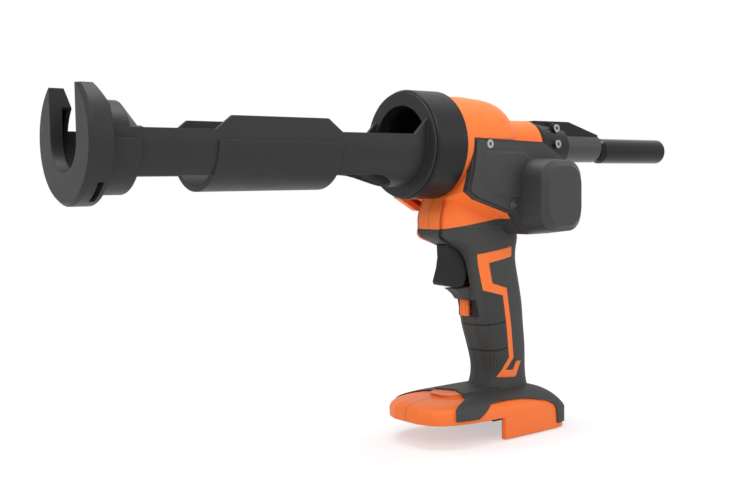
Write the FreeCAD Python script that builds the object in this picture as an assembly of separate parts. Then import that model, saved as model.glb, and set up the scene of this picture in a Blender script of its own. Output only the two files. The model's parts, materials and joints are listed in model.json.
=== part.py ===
import FreeCAD, Part
import math
import os

os.makedirs("parts", exist_ok=True)

# Cordless caulking tool. X runs to the rear, Y to the tool's right, Z up.
# The origin is on the barrel axis at the front face of the carriage flange.

# Fits and cuts
running_fit = 0.06
slide_fit = 0.15
loose_gap = 0.4
seat_gap = 0.1
overrun = 6.0

# Carriage
carriage_length = 235.0
cup_radius = 36.3
cup_length = 13.0
cup_plate = 7.2
cup_wall = 4.0
cup_edge = 2.0
horn_top = 29.0
horn_floor = 17.5
horn_thickness = 8.5
slot_half = 18.0
trough_radius = 28.2
trough_wall = 2.4
nose_section_radius = 30.4
nose_section_length = 18.6
rail_top = 5.9
rail_bottom = 20.0
wing_top = 13.9
wing_start = 157.0
wing_stop = 69.0
wing_slope = 10.5
bed_start = 156.0
bed_stop = 69.0
bed_radius = 29.4
tail_window_start = 37.0
tail_window_tip = 14.0
flange_radius = 35.4
flange_bore = 26.2
flange_thickness = 1.6
gusset_length = 10.6
gusset_top = 16.5
neck_radius = 29.5
neck_end = 10.4
retainer_radius = 32.6
retainer_start = 6.2
retainer_end = 10.0

# Collar and nose socket
collar_radius = 36.9
collar_start = 2.0
collar_end = 29.0
collar_lip = 3.5
collar_lip_bore = 30.0
collar_bore = 33.5
collar_edge = 1.2
socket_start = 11.0
socket_step = 29.7
socket_end = 34.4
socket_bore = 27.0
socket_wall_start = 32.4
bush_radius = 11.0
front_bush_end = 46.0

# Plunger
piston_radius = 22.0
piston_front = -217.0
piston_rim_end = -206.0
piston_cone_end = -193.0
piston_hub_end = -190.0
piston_hub_radius = 8.5
piston_dish_radius = 17.5
piston_dish_depth = 1.6
piston_edge = 1.5
rod_half_width = 5.0
rod_half_height = 6.0
rod_spigot_radius = 4.5
rod_spigot_start = -213.0
rod_rear = 199.5
rod_spigot_end = 232.0
screw_core_radius = 2.5
piston_screw_end = -202.0
piston_screw_head = 3.0
piston_screw_head_radius = 6.0
rod_travel = 222.0
knob_end = 280.5
knob_radius = 9.8
knob_neck_radius = 7.6
knob_neck_end = 204.0
knob_round = 3.0
knob_drop = 2.5

# Drive
drive_module = 1.25
pressure_angle = math.radians(25.0)
pinion_teeth = 12
drive_gear_teeth = 25
transfer_gear_teeth = 19
tooth_thinning = 0.06
pinion_x = 92.0
gear_lean = math.radians(21.0)
pinion_half_width = 5.0
pinion_shaft_radius = 4.0
pinion_shaft_left = -14.5
pinion_shaft_right = 28.0
gear_left = 20.0
gear_right = 27.0
bearing_radius = 7.5
bearing_width = 5.0
left_bearing_start = -13.5
right_bearing_start = 8.5
frame_front = 76.0
frame_rear = 110.0
frame_top = 7.8
frame_bottom = -9.0
frame_left = -13.5
frame_right = 14.0
frame_lobe_radius = 9.2
rod_channel_half_height = 6.3
rod_channel_half_width = 5.6
pinion_pocket_radius = 9.6

# Planet stage and motor
planet_module = 0.8
sun_teeth = 12
planet_teeth = 12
ring_teeth = 36
planet_count = 3
ring_radius = 17.4
ring_left = 6.0
ring_right = 15.0
planet_left = 7.0
planet_right = 14.0
planet_pin_radius = 2.0
carrier_left = 15.4
carrier_right = 17.6
carrier_radius = 13.0
carrier_boss_radius = 6.0
carrier_boss_right = 18.6
clutch_left = 18.8
clutch_radius = 9.0
transfer_pin_radius = 3.0
transfer_pin_right = 31.0
gearbox_plate_left = -3.0
gearbox_plate_right = 1.5
gearbox_plate_radius = 17.4
gearbox_plate_bore = 7.0
motor_radius = 15.5
motor_wall = 1.6
motor_left = -46.0
motor_right = -3.0
motor_cap_left = -50.0
armature_radius = 11.5
armature_inset = 5.0
commutator_radius = 5.5
motor_shaft_radius = 1.6
motor_shaft_left = -51.5
motor_shaft_right = 14.2
motor_bearing_radius = 5.0
motor_bearing_width = 4.0

# Housing
housing_wall = 2.6
skin_thickness = 2.2
foot_skin_thickness = 1.2
bell_radius = 34.0
bell_front = 29.7
bell_straight_end = 52.0
bell_taper_end = 93.0
spine_radius = 19.0
spine_end = 122.5
spine_edge = 3.0
handle_top = -18.0
handle_height = 160.0
handle_reach = 120.0
handle_half = 18.0
handle_power_front = 2.8
handle_power_rear = 2.5
handle_cavity_margin = 7.0
handle_cavity_half = 9.6
base_front = 1.5
base_length = 126.5
base_half = 37.0
base_floor = -189.5
base_height = 15.0
base_power_front = 3.2
base_cavity_margin = 7.0
base_cavity_height = 5.5
base_power_rear = 8.0
skirt_front = 61.0
skirt_bottom = -205.0
skirt_wall = 3.6
rail_lip = 4.0
rail_lip_height = 3.0
rail_lip_setback = 8.0
seat_plane = 29.0
seat_rim = 4.0
seat_flare = 8.0
seat_depth = 9.0
seat_shoulder = 3.0
frame_rib_half = 3.0
frame_rib_inset = 4.0
frame_rib_width = 4.0
saddle_start = 2.0
saddle_end = 10.0
saddle_bottom = -61.0
saddle_top = -50.0
motor_saddle_left = -24.0
motor_saddle_right = -15.0
switch_rib_front = 76.0
switch_rib_rear = 84.0
switch_rib_outer = 14.0
switch_rib_bottom = -90.0
switch_rib_top = -80.0
cover_reach = 120.0
cover_drop = 60.0

# Side covers
cover_face = 35.0
cover_wall = 2.6
cover_edge = 1.6
bulge_face = 56.0
bulge_root_left = 79.0
bulge_root_right = 125.5
bulge_root_top = -9.0
bulge_root_bottom = -63.6
bulge_inset = 2.6
bulge_corner = 13.0
bulge_bevel = 4.0
gear_cover_face = 36.0

# Tail
shroud_end = 152.0
shroud_notch_end = 126.5
shroud_notch_top = -4.5
hood_half = 8.0
hood_ridge_end = 160.0
hood_tip = 194.0
hood_tip_height = 9.6
hood_root_height = 8.0
tail_tube_radius = 11.5
tail_tube_bore = 9.0
tail_tube_start = 124.5
tail_tube_end = 194.5
rear_bush_start = 172.0
rear_bush_end = 190.0
tail_screw_high_x = 139.5
tail_screw_high = 13.5
tail_screw_low_x = 135.5
tail_screw_low = 1.5
tail_boss_radius = 4.2
tail_boss_high_face = 15.0
tail_boss_low_face = 20.0

# Trigger and switch
trigger_half = 6.2
trigger_gap = 0.7
trigger_top = -69.5
trigger_bottom = -99.6
trigger_front = 32.5
trigger_rear = 56.0
trigger_travel = 6.0
trigger_round = 1.6
switch_front = 67.0
switch_rear = 94.0
switch_half = 9.0
switch_top = -72.0
switch_bottom = -98.0
plunger_radius = 3.0
plunger_end = 74.0
spring_wire = 0.5
spring_coil = 4.4
spring_turns = 5
spring_z = -84.0
lock_travel = 4.0
lock_window_half = 9.5
lock_window_bottom = -122.0
lock_window_top = -109.5
lock_floor = 62.2
lock_plate = 1.2
lock_left = -2.0
lock_right = 6.0
lock_front = 58.6
lock_stem_half = 2.0
lock_stem_end = 68.0

# Electrics
board_thickness = 1.6
board_front = 24.0
board_rear = 96.0
board_half = 22.0
board_bottom = -186.9
chip_height = 3.0
chip_half = 6.0
terminal_front = 72.0
terminal_rear = 104.0
terminal_half = 14.0
terminal_bottom = -198.0
terminal_slot = 3.0
blade_thickness = 0.8
blade_count = 4
blade_pitch = 7.0
blade_front = 76.0
blade_rear = 92.0
blade_bottom = -197.0
wire_radius = 1.1
wire_pitch = 4.0
power_wire_x = 89.0
motor_wire_x = 89.0
motor_wire_side = 6.5

# Fasteners
boss_radius = 4.2
cover_boss_radius = 5.4
boss_pilot = 1.5
housing_screw_head_radius = 3.2
housing_screw_head = 2.4
housing_screw_head_plane = 8.0
housing_screw_tip = -9.0
cover_screw_radius = 1.5
cover_screw_head_radius = 3.0
cover_screw_head = 2.0
cover_screw_length = 10.0
socket_depth = 1.2
socket_half = 1.1

# Outlines as shares of the sizes above
bell_taper_shares = [
    (0.0, 0.0), (0.165, 0.04), (0.44, 0.107), (0.648, 0.26), (0.828, 0.633), (0.957, 0.967), (1.0, 1.0)]
handle_section_shares = [
    (0.252, 0.933, 1.028), (0.252, 0.933, 1.028), (0.250, 0.933, 1.028), (0.226, 0.933, 1.022),
    (0.206, 0.923, 1.017), (0.202, 0.902, 1.011),
    (0.240, 0.877, 1.000), (0.378, 0.857, 0.975), (0.428, 0.852, 0.945), (0.446, 0.864, 0.925),
    (0.460, 0.880, 0.917), (0.476, 0.894, 0.920), (0.492, 0.904, 0.936), (0.506, 0.909, 0.950),
    (0.522, 0.913, 0.956), (0.543, 0.920, 0.945), (0.564, 0.926, 0.928), (0.584, 0.926, 0.925),
    (0.594, 0.924, 0.935), (0.585, 0.928, 0.970), (0.560, 0.940, 1.040)]
base_section_shares = [(0.0, 0.0, 1.0, 1.0), (0.3, 0.0, 0.96, 1.0), (0.55, 0.005, 0.92, 0.955),
                       (0.8, 0.06, 0.875, 0.78), (1.0, 0.22, 0.76, 0.4)]
left_cover_shares = [
    (0.305, 0.067), (0.867, 0.033), (1.017, -0.133), (1.05, -0.3), (1.05, -0.833), (0.967, -1.033),
    (0.7, -1.05), (0.6, -0.8), (0.45, -0.708), (0.317, -0.625), (0.25, -0.533), (0.285, -0.283),
    (0.3, -0.083)]
right_seat_shares = [
    (0.362, 0.2), (0.867, 0.2), (1.0, -0.1), (1.05, -0.3), (1.05, -0.833), (0.967, -1.033),
    (0.7, -1.05), (0.6, -0.8), (0.45, -0.708), (0.317, -0.625), (0.25, -0.533), (0.332, -0.283),
    (0.35, -0.083)]
right_cover_shares = [
    (0.362, 0.2), (0.867, 0.2), (1.0, -0.1), (1.05, -0.3), (1.05, -0.833), (0.967, -1.033),
    (0.7, -1.05), (0.6, -0.82), (0.45, -0.79), (0.325, -0.765), (0.18, -0.6), (0.332, -0.283),
    (0.35, -0.083)]
stripe_shares = [
    (0.745, -1.205), (0.47, -1.275), (0.525, -1.71), (0.665, -1.785), (0.715, -2.54), (0.63, -2.77),
    (0.765, -2.79), (0.82, -2.605), (0.775, -2.6), (0.745, -2.7), (0.69, -2.69), (0.755, -2.55),
    (0.7, -1.7), (0.585, -1.63), (0.555, -1.385), (0.745, -1.325)]
foot_top_shares = [
    (0.368, 0.1), (0.368, 0.0), (0.288, -0.595), (0.146, -0.838), (0.06, -1.2), (1.1, -1.2), (1.1, 0.1)]
foot_side_shares = [
    (-0.1, 0.167), (0.269, 0.167), (0.383, 0.727), (0.507, 0.753), (0.625, 0.707), (0.7, 0.607),
    (0.802, 0.42), (0.862, 0.167), (0.886, -0.087), (0.894, -0.8), (1.1, -0.8), (1.1, 1.3), (-0.1, 1.3)]
trigger_shares = [
    (0.2, 0.0), (0.22, 0.3), (0.16, 0.55), (0.02, 0.86), (0.06, 0.93), (0.5, 1.0), (0.78, 0.98),
    (0.9, 0.8), (1.0, 0.0)]
housing_screw_shares = [(0.3, -0.783), (0.39, 0.45), (0.955, 0.235), (0.83, -1.86), (0.68, -2.7)]
left_screw_shares = [(0.42, 0.0), (0.61, -0.7)]
right_screw_shares = [(0.45, 0.12), (0.62, -0.73), (0.985, -0.16)]
skin_relief_shares = {6: 0.028, 7: 0.014}
section_step_count = 14
skin_section = 5
cavity_section_step = 2
tooth_step_shares = [0.0, 0.35, 0.7, 1.0]
dedendum_share = 1.25
window_turns = (math.radians(22.0), math.radians(50.0))

# Values that follow from the sizes
pitch_height = -(rod_half_height - drive_module)
pinion_pitch_radius = drive_module * pinion_teeth / 2
pinion_z = pitch_height - pinion_pitch_radius
gear_spread = drive_module * (drive_gear_teeth + transfer_gear_teeth) / 2
motor_x = pinion_x + gear_spread * math.sin(gear_lean)
motor_z = pinion_z - gear_spread * math.cos(gear_lean)
planet_spread = planet_module * (sun_teeth + planet_teeth) / 2
cup_front = -carriage_length
cup_back = cup_front + cup_length
trough_bore = trough_radius - trough_wall
base_top = base_floor + base_height

origin = FreeCAD.Vector(0, 0, 0)
x_axis = FreeCAD.Vector(1, 0, 0)
y_axis = FreeCAD.Vector(0, 1, 0)
z_axis = FreeCAD.Vector(0, 0, 1)


def point(x, y, z):
    return FreeCAD.Vector(x, y, z)


def save(name, shape):
    shape.exportStep("parts/" + name + ".step")


def block(x0, x1, y0, y1, z0, z1):
    return Part.makeBox(x1 - x0, y1 - y0, z1 - z0, point(x0, y0, z0))


def along_x(radius, x0, x1):
    return Part.makeCylinder(radius, x1 - x0, point(x0, 0, 0), x_axis)


def along_y(radius, y0, y1, x, z):
    return Part.makeCylinder(radius, y1 - y0, point(x, y0, z), y_axis)


def prism_y(outline, y0, y1):
    corners = [point(x, y0, z) for x, z in outline]
    face = Part.Face(Part.makePolygon(corners + corners[:1]))
    return face.extrude(point(0, y1 - y0, 0))


def prism_z(outline, z0, z1):
    corners = [point(x, y, z0) for x, y in outline]
    face = Part.Face(Part.makePolygon(corners + corners[:1]))
    return face.extrude(point(0, 0, z1 - z0))


def prism_x(outline, x0, x1):
    corners = [point(x0, y, z) for y, z in outline]
    face = Part.Face(Part.makePolygon(corners + corners[:1]))
    return face.extrude(point(x1 - x0, 0, 0))


def turned(outline):
    corners = [point(x, 0, r) for x, r in outline]
    face = Part.Face(Part.makePolygon(corners + corners[:1]))
    return face.revolve(origin, x_axis, 360)


def fused(shapes):
    whole = shapes[0]
    if len(shapes) > 1:
        whole = whole.multiFuse(shapes[1:])
    return whole.removeSplitter()


def mirrored(shape):
    return shape.mirror(origin, y_axis)


def inset_prism(outline, inset, y0, y1):
    corners = [point(x, 0, z) for x, z in outline]
    wire = Part.makePolygon(corners + corners[:1])
    if inset != 0:
        wire = Part.Face(wire).makeOffset2D(-inset).OuterWire
    face = Part.Face(wire)
    face.translate(point(0, y0, 0))
    return face.extrude(point(0, y1 - y0, 0))


def half_oval(front, rear, half, power_front, power_rear, z):
    centre = (front + rear) / 2
    reach = (rear - front) / 2
    arc = []
    for index in range(section_step_count + 1):
        angle = math.pi * index / section_step_count
        c = math.cos(angle)
        s = math.sin(angle)
        power = power_rear if c > 0 else power_front
        x = centre + math.copysign(abs(c) ** (2 / power), c) * reach
        arc.append(point(x, -abs(s) ** (2 / power) * half, z))
    arc[0].y = 0
    arc[-1].y = 0
    curve = Part.BSplineCurve()
    curve.interpolate(Points=arc, InitialTangent=point(0, -1, 0), FinalTangent=point(0, 1, 0))
    return Part.Wire([curve.toShape(), Part.LineSegment(arc[-1], arc[0]).toShape()])


def gear_outline(teeth, module, addendum, dedendum, thinning, phase):
    pitch_radius = module * teeth / 2
    base_radius = pitch_radius * math.cos(pressure_angle)
    root_radius = pitch_radius - dedendum
    tip_radius = pitch_radius + addendum
    start_radius = max(base_radius, root_radius)
    involute_at_pitch = math.tan(pressure_angle) - pressure_angle

    def half_angle(radius):
        flank = math.acos(min(1.0, base_radius / radius))
        involute = math.tan(flank) - flank
        return math.pi / (2 * teeth) - thinning / pitch_radius + involute_at_pitch - involute

    flank_radii = [start_radius + share * (tip_radius - start_radius) for share in tooth_step_shares]
    outline = []
    for index in range(teeth):
        middle = phase + 2 * math.pi * index / teeth
        rising = [(r, middle - half_angle(r)) for r in flank_radii]
        falling = [(r, middle + half_angle(r)) for r in reversed(flank_radii)]
        flank = rising + falling
        if root_radius < start_radius:
            flank = [(root_radius, rising[0][1])] + flank + [(root_radius, falling[-1][1])]
        outline += [(r * math.cos(a), r * math.sin(a)) for r, a in flank]
    return outline


def gear_y(teeth, module, y0, y1, x, z, phase):
    outline = gear_outline(teeth, module, module, dedendum_share * module, tooth_thinning, phase)
    return prism_y([(x + u, z + v) for u, v in outline], y0, y1)


def screw_y(radius, head_radius, head, length, x, z, y, way):
    shank = Part.makeCylinder(radius, length, point(x, y, z), point(0, way, 0))
    cap = Part.makeCylinder(head_radius, head, point(x, y, z), point(0, -way, 0))
    slot = Part.makeBox(2 * socket_half, socket_depth, 2 * socket_half)
    slot.translate(point(x - socket_half, -socket_depth / 2, z - socket_half))
    slot.translate(point(0, y - way * (head - socket_depth / 2), 0))
    return shank.fuse(cap).removeSplitter().cut(slot)


def u_channel(radius, top, x0, x1):
    pipe = along_x(radius, x0, x1)
    pipe = pipe.cut(block(x0 - overrun, x1 + overrun, -2 * radius, 2 * radius, 0, 2 * radius))
    if top > 0:
        pipe = pipe.fuse(block(x0, x1, -radius, radius, 0, top))
    return pipe


def carriage_cup():
    edge = [(cup_front, 0), (cup_front, cup_radius - cup_edge), (cup_front + cup_edge, cup_radius),
            (cup_back, cup_radius), (cup_back, 0)]
    cup = turned(edge)
    hollow = along_x(cup_radius - cup_wall, cup_front + cup_plate, cup_back + overrun)
    keep = block(cup_front, cup_back + 2 * overrun, -2 * cup_radius, 2 * cup_radius,
                 horn_floor, 2 * cup_radius)
    cup = cup.cut(hollow.cut(keep))
    back_ring = along_x(cup_radius, cup_back - trough_wall, cup_back)
    back_ring = back_ring.cut(along_x(trough_bore, cup_back - overrun, cup_back + overrun))
    cup = cup.fuse(back_ring)
    cup = cup.cut(along_x(trough_bore, cup_front + cup_plate, cup_back + overrun))
    slot = along_x(slot_half, cup_front - overrun, cup_back + overrun)
    slot_way = block(cup_front - overrun, cup_back + overrun, -slot_half, slot_half, 0, 2 * cup_radius)
    cup = cup.cut(slot).cut(slot_way)
    above = block(cup_front - overrun, cup_back + overrun, -2 * cup_radius, 2 * cup_radius,
                  horn_top, 2 * cup_radius)
    horn_rear = cup_front + horn_thickness
    slope = [(horn_rear, horn_top + overrun), (horn_rear, horn_top), (cup_back, horn_floor),
             (cup_back + overrun, horn_floor), (cup_back + overrun, horn_top + overrun)]
    cup = cup.cut(above).cut(prism_y(slope, -2 * cup_radius, 2 * cup_radius))
    for side in (-1, 1):
        wedge = [(0, 0)]
        for angle in window_turns:
            wedge.append((side * 2 * cup_radius * math.sin(angle), -2 * cup_radius * math.cos(angle)))
        cup = cup.cut(prism_x(wedge, cup_front + cup_plate, cup_back - trough_wall))
    return cup


def carriage_trough():
    nose = u_channel(nose_section_radius, 0, cup_back, cup_back + nose_section_length)
    trough = u_channel(trough_radius, rail_top, cup_back, 0)
    wing = [(-wing_start, 0), (-wing_start, rail_top), (-wing_start + wing_slope, wing_top),
            (-wing_stop - wing_slope, wing_top), (-wing_stop, rail_top), (-wing_stop, 0)]
    gusset = [(-gusset_length, 0), (-gusset_length, rail_top), (0, gusset_top), (0, 0)]
    bed = u_channel(bed_radius, 0, -bed_start, -bed_stop)
    pieces = [nose, trough, bed, prism_y(wing, -trough_radius, trough_radius)]
    pieces.append(prism_y(gusset, -trough_radius, trough_radius))
    trough = fused(pieces)
    bore = along_x(trough_bore, cup_back - overrun, overrun)
    way = block(cup_back - overrun, overrun, -trough_bore, trough_bore, 0, 2 * cup_radius)
    trough = trough.cut(bore).cut(way)
    front_window = block(cup_back + nose_section_length, -bed_start, -trough_radius, trough_radius,
                         -2 * trough_radius, -rail_bottom)
    tail_window = block(-bed_stop, -tail_window_start, -trough_radius, trough_radius,
                        -2 * trough_radius, -rail_bottom)
    tip_half = math.sqrt(trough_radius ** 2 - rail_bottom ** 2)
    tip = []
    for index in range(section_step_count + 1):
        angle = -math.pi / 2 + math.pi * index / section_step_count
        tip.append((-tail_window_start + (tail_window_start - tail_window_tip) * math.cos(angle),
                    tip_half * math.sin(angle)))
    tail_tip = prism_z(tip, -2 * trough_radius, -rail_top)
    return trough.cut(front_window).cut(tail_window).cut(tail_tip)


def carriage_frame():
    flange = along_x(flange_radius, 0, flange_thickness)
    neck = along_x(neck_radius, flange_thickness, neck_end)
    rear = flange.fuse(neck).cut(along_x(flange_bore, -overrun, neck_end + overrun))
    return fused([carriage_cup(), carriage_trough(), rear])


def carriage_retainer():
    ring = along_x(retainer_radius, retainer_start, retainer_end)
    return ring.cut(along_x(neck_radius, retainer_start - overrun, retainer_end + overrun))


def lock_collar():
    outline = [(collar_start, collar_lip_bore), (collar_start, collar_radius - collar_edge),
               (collar_start + collar_edge, collar_radius), (collar_end - collar_edge, collar_radius),
               (collar_end, collar_radius - collar_edge), (collar_end, collar_bore),
               (collar_start + collar_lip, collar_bore), (collar_start + collar_lip, collar_lip_bore)]
    return turned(outline)


def nose_socket():
    inner_radius = bell_radius - housing_wall - seat_gap
    body = along_x(collar_bore - loose_gap, socket_start, socket_step)
    body = body.fuse(along_x(inner_radius, socket_step, socket_end))
    body = body.cut(along_x(socket_bore, socket_start - overrun, socket_wall_start))
    body = body.cut(along_x(bush_radius, socket_wall_start - overrun, socket_end + overrun))
    return body.removeSplitter()


def rod_hole(x0, x1):
    half_width = rod_half_width + slide_fit
    half_height = rod_half_height + slide_fit
    return block(x0 - overrun, x1 + overrun, -half_width, half_width, -half_height, half_height)


def front_bush():
    bush = along_x(bush_radius, socket_wall_start, front_bush_end)
    return bush.cut(rod_hole(socket_wall_start, front_bush_end))


def rear_bush():
    bush = along_x(tail_tube_bore, rear_bush_start, rear_bush_end)
    return bush.cut(rod_hole(rear_bush_start, rear_bush_end))


def plunger_rod():
    pitch = math.pi * drive_module
    root = pitch_height + dedendum_share * drive_module
    tip_half = pitch / 4 - tooth_thinning - drive_module * math.tan(pressure_angle)
    root_half = pitch / 4 - tooth_thinning + dedendum_share * drive_module * math.tan(pressure_angle)
    first = math.floor((-rod_travel - 2 * pinion_pitch_radius) / pitch)
    last = math.ceil(2 * pinion_pitch_radius / pitch)
    outline = [(piston_hub_end, rod_half_height), (piston_hub_end, -rod_half_height)]
    for index in range(first, last):
        middle = pinion_x + (index + 0.5) * pitch
        if index == first:
            outline.append((middle - pitch / 2, -rod_half_height))
            outline.append((middle - pitch / 2, root))
        outline += [(middle - root_half, root), (middle - tip_half, -rod_half_height),
                    (middle + tip_half, -rod_half_height), (middle + root_half, root)]
    end = pinion_x + last * pitch
    outline += [(end, root), (end, -rod_half_height), (rod_rear, -rod_half_height),
                (rod_rear, rod_half_height)]
    bar = prism_y(outline, -rod_half_width, rod_half_width)
    front = along_x(rod_spigot_radius, rod_spigot_start, piston_hub_end)
    rear = along_x(rod_spigot_radius, rod_rear, rod_spigot_end)
    rod = fused([bar, front, rear])
    return rod.cut(along_x(screw_core_radius, rod_spigot_start - overrun, piston_screw_end))


def piston():
    outline = [(piston_front + piston_dish_depth, 0), (piston_front + piston_dish_depth, piston_dish_radius),
               (piston_front, piston_dish_radius + piston_dish_depth),
               (piston_front, piston_radius - piston_edge),
               (piston_front + piston_edge, piston_radius), (piston_rim_end, piston_radius),
               (piston_cone_end, piston_hub_radius), (piston_hub_end, piston_hub_radius), (piston_hub_end, 0)]
    disc = turned(outline).cut(along_x(rod_spigot_radius, rod_spigot_start, piston_hub_end + overrun))
    return disc.cut(along_x(screw_core_radius, piston_front - overrun, rod_spigot_start + overrun))


def piston_screw():
    seat = piston_front + piston_dish_depth
    shank = along_x(screw_core_radius, seat, piston_screw_end)
    head = along_x(piston_screw_head_radius, seat - piston_screw_head, seat)
    slot = block(seat - 2 * piston_screw_head, seat - piston_screw_head + socket_depth,
                 -socket_half, socket_half, -socket_half, socket_half)
    return shank.fuse(head).removeSplitter().cut(slot)


def rod_knob():
    outline = [(rod_rear, 0), (rod_rear, knob_neck_radius), (knob_neck_end, knob_radius),
               (knob_end - knob_round, knob_radius), (knob_end, knob_radius - knob_round), (knob_end, 0)]
    knob = turned(outline)
    knob.translate(point(0, 0, -knob_drop))
    return knob.cut(along_x(rod_spigot_radius, rod_rear - overrun, rod_spigot_end))


def pinion_shaft():
    shaft = along_y(pinion_shaft_radius, pinion_shaft_left, pinion_shaft_right, pinion_x, pinion_z)
    pinion = gear_y(pinion_teeth, drive_module, -pinion_half_width, pinion_half_width, pinion_x, pinion_z,
                    math.pi / 2)
    return fused([shaft, pinion])


def mesh_angle():
    return math.atan2(motor_z - pinion_z, motor_x - pinion_x)


def drive_gear():
    gear = gear_y(drive_gear_teeth, drive_module, gear_left, gear_right, pinion_x, pinion_z, mesh_angle())
    bore = along_y(pinion_shaft_radius, gear_left - overrun, gear_right + overrun, pinion_x, pinion_z)
    return gear.cut(bore)


def transfer_gear():
    phase = mesh_angle() + math.pi + math.pi / transfer_gear_teeth
    gear = gear_y(transfer_gear_teeth, drive_module, gear_left, gear_right, motor_x, motor_z, phase)
    bore = transfer_pin_radius + running_fit
    return gear.cut(along_y(bore, gear_left - overrun, gear_right + overrun, motor_x, motor_z))


def clutch_disc():
    disc = along_y(clutch_radius, clutch_left, gear_left, motor_x, motor_z)
    bore = transfer_pin_radius + running_fit
    return disc.cut(along_y(bore, clutch_left - overrun, gear_left + overrun, motor_x, motor_z))


def transfer_pin():
    return along_y(transfer_pin_radius, gear_left, transfer_pin_right, motor_x, motor_z)


def pinion_bearing(start):
    ring = along_y(bearing_radius, start, start + bearing_width, pinion_x, pinion_z)
    bore = pinion_shaft_radius + running_fit
    return ring.cut(along_y(bore, start - overrun, start + bearing_width + overrun, pinion_x, pinion_z))


def gear_frame():
    bar = block(frame_front, frame_rear, frame_left, frame_right, frame_bottom, frame_top)
    lobe = along_y(frame_lobe_radius, frame_left, frame_right, pinion_x, pinion_z)
    frame = bar.fuse(lobe)
    channel = block(frame_front - overrun, frame_rear + overrun, -rod_channel_half_width,
                    rod_channel_half_width, 2 * pinion_z, rod_channel_half_height)
    frame = frame.cut(channel)
    for start in (left_bearing_start, right_bearing_start):
        frame = frame.cut(along_y(bearing_radius, start, start + bearing_width, pinion_x, pinion_z))
    through = pinion_shaft_radius + loose_gap
    frame = frame.cut(along_y(through, frame_left - overrun, frame_right + overrun, pinion_x, pinion_z))
    return frame.removeSplitter()


def planet_place(index):
    angle = math.pi / 2 + 2 * math.pi * index / planet_count
    return motor_x + planet_spread * math.cos(angle), motor_z + planet_spread * math.sin(angle), angle


def rotor():
    shaft = along_y(motor_shaft_radius, motor_shaft_left, motor_shaft_right, motor_x, motor_z)
    core = along_y(armature_radius, motor_left + 2 * armature_inset, motor_right - armature_inset,
                   motor_x, motor_z)
    brush_ring = along_y(commutator_radius, motor_left + armature_inset / 2, motor_left + 2 * armature_inset,
                         motor_x, motor_z)
    sun = gear_y(sun_teeth, planet_module, planet_left, planet_right, motor_x, motor_z, math.pi / 2)
    return fused([shaft, core, brush_ring, sun])


def planet_gear(index):
    x, z, angle = planet_place(index)
    phase = angle + math.pi + math.pi / planet_teeth
    gear = gear_y(planet_teeth, planet_module, planet_left, planet_right, x, z, phase)
    bore = planet_pin_radius + running_fit
    return gear.cut(along_y(bore, planet_left - overrun, planet_right + overrun, x, z))


def planet_carrier():
    pieces = [along_y(carrier_radius, carrier_left, carrier_right, motor_x, motor_z)]
    pieces.append(along_y(carrier_boss_radius, carrier_right, carrier_boss_right, motor_x, motor_z))
    for index in range(planet_count):
        x, z, angle = planet_place(index)
        pieces.append(along_y(planet_pin_radius, planet_left, carrier_left, x, z))
    return fused(pieces)


def ring_gear():
    body = along_y(ring_radius, ring_left, ring_right, motor_x, motor_z)
    phase = math.pi / 2 + math.pi / ring_teeth
    outline = gear_outline(ring_teeth, planet_module, dedendum_share * planet_module, planet_module,
                           -tooth_thinning, phase)
    placed = [(motor_x + u, motor_z + v) for u, v in outline]
    return body.cut(prism_y(placed, ring_left - overrun, ring_right + overrun))


def gearbox_plate():
    plate = along_y(gearbox_plate_radius, gearbox_plate_left, ring_left, motor_x, motor_z)
    inner = along_y(ring_radius - housing_wall, gearbox_plate_right, ring_left + overrun, motor_x, motor_z)
    bore = along_y(gearbox_plate_bore, gearbox_plate_left - overrun, ring_left + overrun, motor_x, motor_z)
    pocket = along_y(pinion_pocket_radius, -2 * pinion_half_width, pinion_half_width + loose_gap,
                     pinion_x, pinion_z)
    return plate.cut(inner).cut(bore).cut(pocket)


def motor_can():
    can = along_y(motor_radius, motor_left, motor_right, motor_x, motor_z)
    inner = along_y(motor_radius - motor_wall, motor_left - overrun, motor_right - motor_wall,
                    motor_x, motor_z)
    hole = along_y(motor_bearing_radius, motor_left, motor_right + overrun, motor_x, motor_z)
    return can.cut(inner).cut(hole)


def motor_magnets():
    inner = motor_radius - motor_wall
    ring = along_y(inner, motor_left + 2 * armature_inset, motor_right - armature_inset, motor_x, motor_z)
    ring = ring.cut(along_y(armature_radius + loose_gap, motor_left, motor_right, motor_x, motor_z))
    gap = block(motor_x - motor_wall, motor_x + motor_wall, motor_left, motor_right,
                motor_z - 2 * motor_radius, motor_z + 2 * motor_radius)
    return ring.cut(gap)


def motor_cap():
    cap = along_y(motor_radius, motor_cap_left, motor_left, motor_x, motor_z)
    bore = along_y(motor_bearing_radius, motor_cap_left - overrun, motor_left + overrun, motor_x, motor_z)
    return cap.cut(bore)


def motor_bearing(start):
    ring = along_y(motor_bearing_radius, start, start + motor_bearing_width, motor_x, motor_z)
    bore = motor_shaft_radius + running_fit
    return ring.cut(along_y(bore, start - overrun, start + motor_bearing_width + overrun, motor_x, motor_z))


def barrel(inset):
    radius = bell_radius - inset
    taper = []
    for run_share, drop_share in bell_taper_shares:
        x = bell_straight_end + run_share * (bell_taper_end - bell_straight_end)
        taper.append(point(x, 0, radius - drop_share * (bell_radius - spine_radius)))
    curve = Part.BSplineCurve()
    curve.interpolate(taper)
    small = spine_radius - inset
    end = spine_end - inset
    front = bell_front if inset == 0 else bell_front - overrun
    lower = [taper[-1], point(end - spine_edge, 0, small), point(end, 0, small - spine_edge),
             point(end, 0, 0), point(front, 0, 0), point(front, 0, radius), taper[0]]
    edges = [curve.toShape()] + Part.makePolygon(lower).Edges
    return Part.Face(Part.Wire(edges)).revolve(origin, x_axis, 180)


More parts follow.
